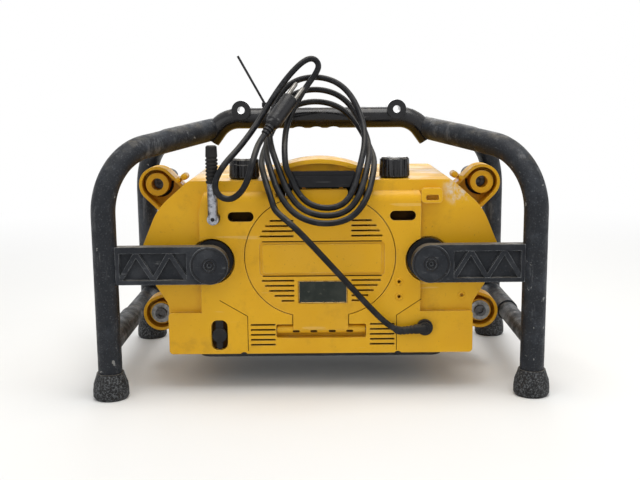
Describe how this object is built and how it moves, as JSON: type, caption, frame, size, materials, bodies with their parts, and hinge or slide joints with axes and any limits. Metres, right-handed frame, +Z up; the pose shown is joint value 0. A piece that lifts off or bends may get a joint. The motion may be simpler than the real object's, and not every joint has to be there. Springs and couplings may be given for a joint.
{
  "type": "jobsite radio",
  "caption": "Rugged worksite radio in a tubular roll cage, with a hinged battery door, rotary controls, a folding rubber antenna and a coiled mains lead hung in front of its handle.",
  "frame": {"origin": "on the floor, midway between the four feet", "axes": "+X to the right of someone facing the service side, +Y from the service side to the loudspeaker side, +Z up"},
  "size_m": [0.4684, 0.2824, 0.3482],
  "materials": {
    "cage_paint": "worn textured black coating",
    "handle_black": "satin black",
    "arm_plastic": "scuffed fine grain",
    "foot_rubber": "dusty rubber",
    "housing_yellow": "fine grain",
    "door_yellow": "fine grain",
    "black_plastic": "satin black",
    "knob_black": "glossy black",
    "steel": "dull grey",
    "label_dark": "bare dark label",
    "brass_contact": "bright",
    "ferrule_chrome": "dull",
    "grille_black": "black",
    "cone_paper": "paper",
    "magnet_steel": "zinc",
    "lens_clear": "clear",
    "display_grey": "liquid crystal",
    "board_green": "solder mask",
    "winding_copper": "taped winding",
    "cord_black": "satin rubber"
  },
  "bodies": {
    "radio_and_cage": {"antenna_base": "black_plastic", "aux_socket": "black_plastic", "base_tray": "arm_plastic", "battery_bay": "black_plastic", "cable_tie": "black_plastic", "cage_arm_left": "arm_plastic", "cage_arm_right": "arm_plastic", "carry_handle": "handle_black", "circuit_board": "board_green", "contact_blades": "brass_contact", "contact_block": "black_plastic", "control_panel": "black_plastic", "cord_gland": "foot_rubber", "display_lens": "lens_clear", "display_module": "display_grey", "door_pins": "steel", "front_housing": "housing_yellow", "leg_feet": "foot_rubber", "lug_bolts": "steel", "lug_brackets_left": "cage_paint", "lug_brackets_right": "cage_paint", "lug_pads": "foot_rubber", "lug_washers": "steel", "mains_plug": "cord_black", "pivot_bosses": "black_plastic", "pivot_screws": "steel", "plug_pins": "brass_contact", "power_lead": "cord_black", "power_lead_coil": "cord_black", "power_lead_tail": "cord_black", "rail_sleeves": "cage_paint", "rail_spigots": "cage_paint", "rear_housing": "housing_yellow", "roll_bar_far_left": "cage_paint", "roll_bar_far_right": "cage_paint", "roll_bar_near_left": "cage_paint", "roll_bar_near_right": "cage_paint", "rotary_controls": "black_plastic", "shock_washers": "foot_rubber", "speaker_baskets": "black_plastic", "speaker_cones": "cone_paper", "speaker_grilles": "grille_black", "speaker_magnets": "magnet_steel", "transformer_core": "magnet_steel", "transformer_winding": "winding_copper"},
    "battery_door": {"battery_door": "door_yellow", "name_inlay": "black_plastic", "label_plate": "label_dark", "latch_pin": "steel"},
    "door_latch": {"door_latch": "black_plastic"},
    "volume_knob": {"volume_knob": "knob_black"},
    "tuning_knob": {"tuning_knob": "knob_black"},
    "antenna": {"antenna_ferrule": "ferrule_chrome", "antenna_boot": "foot_rubber"},
    "aux_cover": {"aux_cover": "foot_rubber"},
    "button_band": {"button_band": "black_plastic"},
    "button_clock": {"button_clock": "black_plastic"},
    "button_seek_down": {"button_seek_down": "black_plastic"},
    "button_seek_up": {"button_seek_up": "black_plastic"},
    "button_power": {"button_power": "black_plastic"}
  },
  "joints": [
    {"name": "battery_door_hinge", "type": "hinge", "parent": "radio_and_cage", "child": "battery_door", "pos_m": [0, -0.097, 0.065], "axis": [1, 0, 0], "range_deg": [0, 95], "deforming": ["power_lead", "power_lead_coil", "power_lead_tail"]},
    {"name": "door_latch", "type": "hinge", "parent": "battery_door", "child": "door_latch", "pos_m": [0, -0.1006, 0.2255], "axis": [-1, 0, 0], "range_deg": [0, 20]},
    {"name": "volume_knob", "type": "hinge", "parent": "radio_and_cage", "child": "volume_knob", "pos_m": [-0.078, -0.072, 0.22], "axis": [0, 0, -1], "range_deg": [0, 300]},
    {"name": "tuning_knob", "type": "hinge", "parent": "radio_and_cage", "child": "tuning_knob", "pos_m": [0.078, -0.072, 0.22], "axis": [0, 0, 1], "continuous": true},
    {"name": "antenna", "type": "hinge", "parent": "radio_and_cage", "child": "antenna", "pos_m": [-0.1075, -0.109, 0.183], "axis": [0, -1, 0], "range_deg": [0, 90]},
    {"name": "aux_cover", "type": "hinge", "parent": "radio_and_cage", "child": "aux_cover", "pos_m": [-0.105, -0.1008, 0.074], "axis": [-1, 0, 0], "range_deg": [0, 110]},
    {"name": "button_band", "type": "slide", "parent": "radio_and_cage", "child": "button_band", "axis": [0, -1, 0], "range_m": [0, 0.0012], "stiffness_N_per_m": 400, "springref_m": -0.0002},
    {"name": "button_clock", "type": "slide", "parent": "radio_and_cage", "child": "button_clock", "axis": [0, -1, 0], "range_m": [0, 0.0012], "stiffness_N_per_m": 400, "springref_m": -0.0002},
    {"name": "button_seek_down", "type": "slide", "parent": "radio_and_cage", "child": "button_seek_down", "axis": [0, -1, 0], "range_m": [0, 0.0012], "stiffness_N_per_m": 400, "springref_m": -0.0002},
    {"name": "button_seek_up", "type": "slide", "parent": "radio_and_cage", "child": "button_seek_up", "axis": [0, -1, 0], "range_m": [0, 0.0012], "stiffness_N_per_m": 400, "springref_m": -0.0002},
    {"name": "button_power", "type": "slide", "parent": "radio_and_cage", "child": "button_power", "axis": [0, -1, 0], "range_m": [0, 0.0012], "stiffness_N_per_m": 400, "springref_m": -0.0002}
  ]
}
